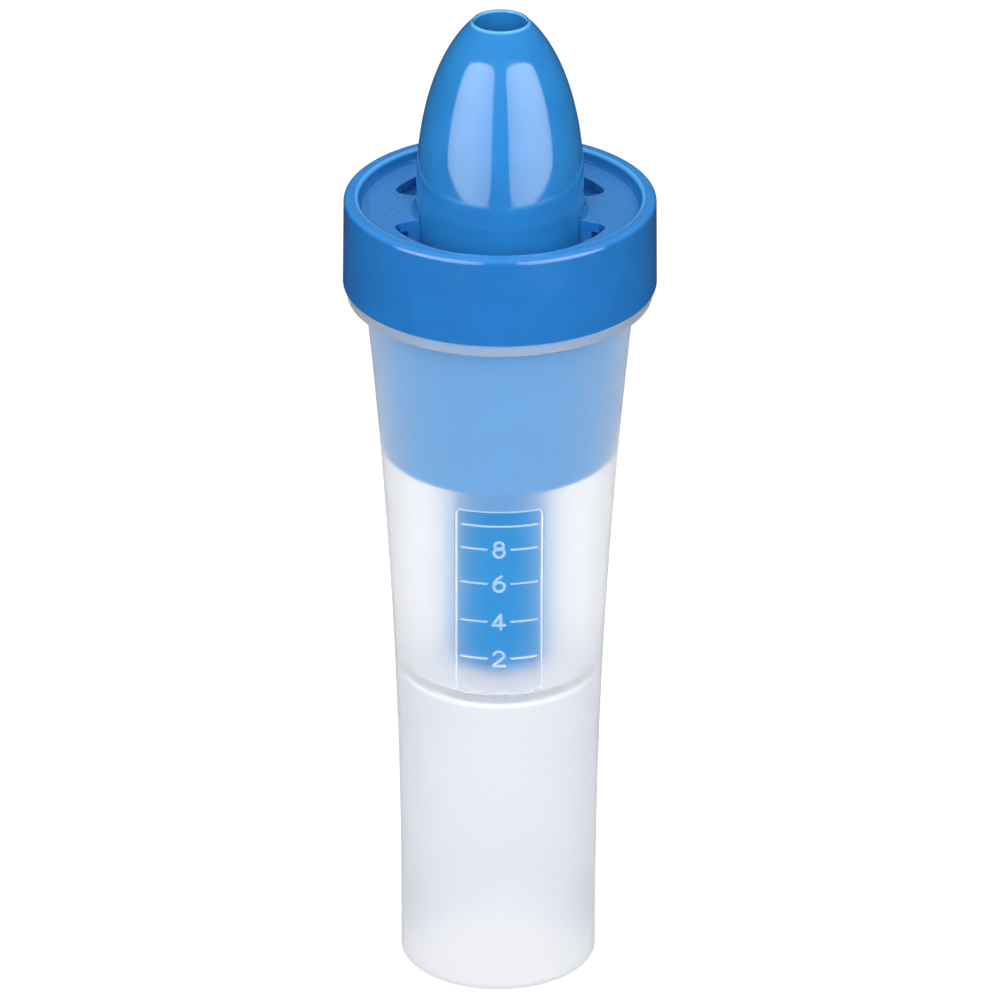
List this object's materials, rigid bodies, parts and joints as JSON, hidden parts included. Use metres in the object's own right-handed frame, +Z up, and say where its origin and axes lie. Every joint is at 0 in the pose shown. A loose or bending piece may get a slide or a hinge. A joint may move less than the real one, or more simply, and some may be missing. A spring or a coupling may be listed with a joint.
{
  "type": "vented nozzle cup",
  "caption": "Tall frosted measuring cup with a flared wall, closed by a press-on plug cap that has vents in its deck, a bullet-shaped nozzle and a dip tube down to the chamber floor.",
  "frame": {"origin": "centre of the ring that the cup stands on", "axes": "+Z up along the cup's axis, the scale window faces -Y"},
  "size_m": [0.0362, 0.0362, 0.1204],
  "materials": {
    "frosted_cup": "fine frosted translucent moulded plastic with a polished window",
    "blue_cap": "gloss skirt and rim with a fine spark-textured deck",
    "blue_nozzle": "high-gloss moulded plastic",
    "blue_tube": "satin extruded plastic"
  },
  "bodies": {
    "cup": {"cup": "frosted_cup"},
    "cap": {"cap": "blue_cap"},
    "nozzle": {"nozzle": "blue_nozzle", "dip_tube": "blue_tube"}
  },
  "joints": [
    {"name": "cap_pull", "type": "slide", "parent": "cup", "child": "cap", "axis": [0, 0, 1], "range_m": [0, 0.06]},
    {"name": "nozzle_pull", "type": "slide", "parent": "cap", "child": "nozzle", "axis": [0, 0, 1], "range_m": [0, 0.06]}
  ]
}
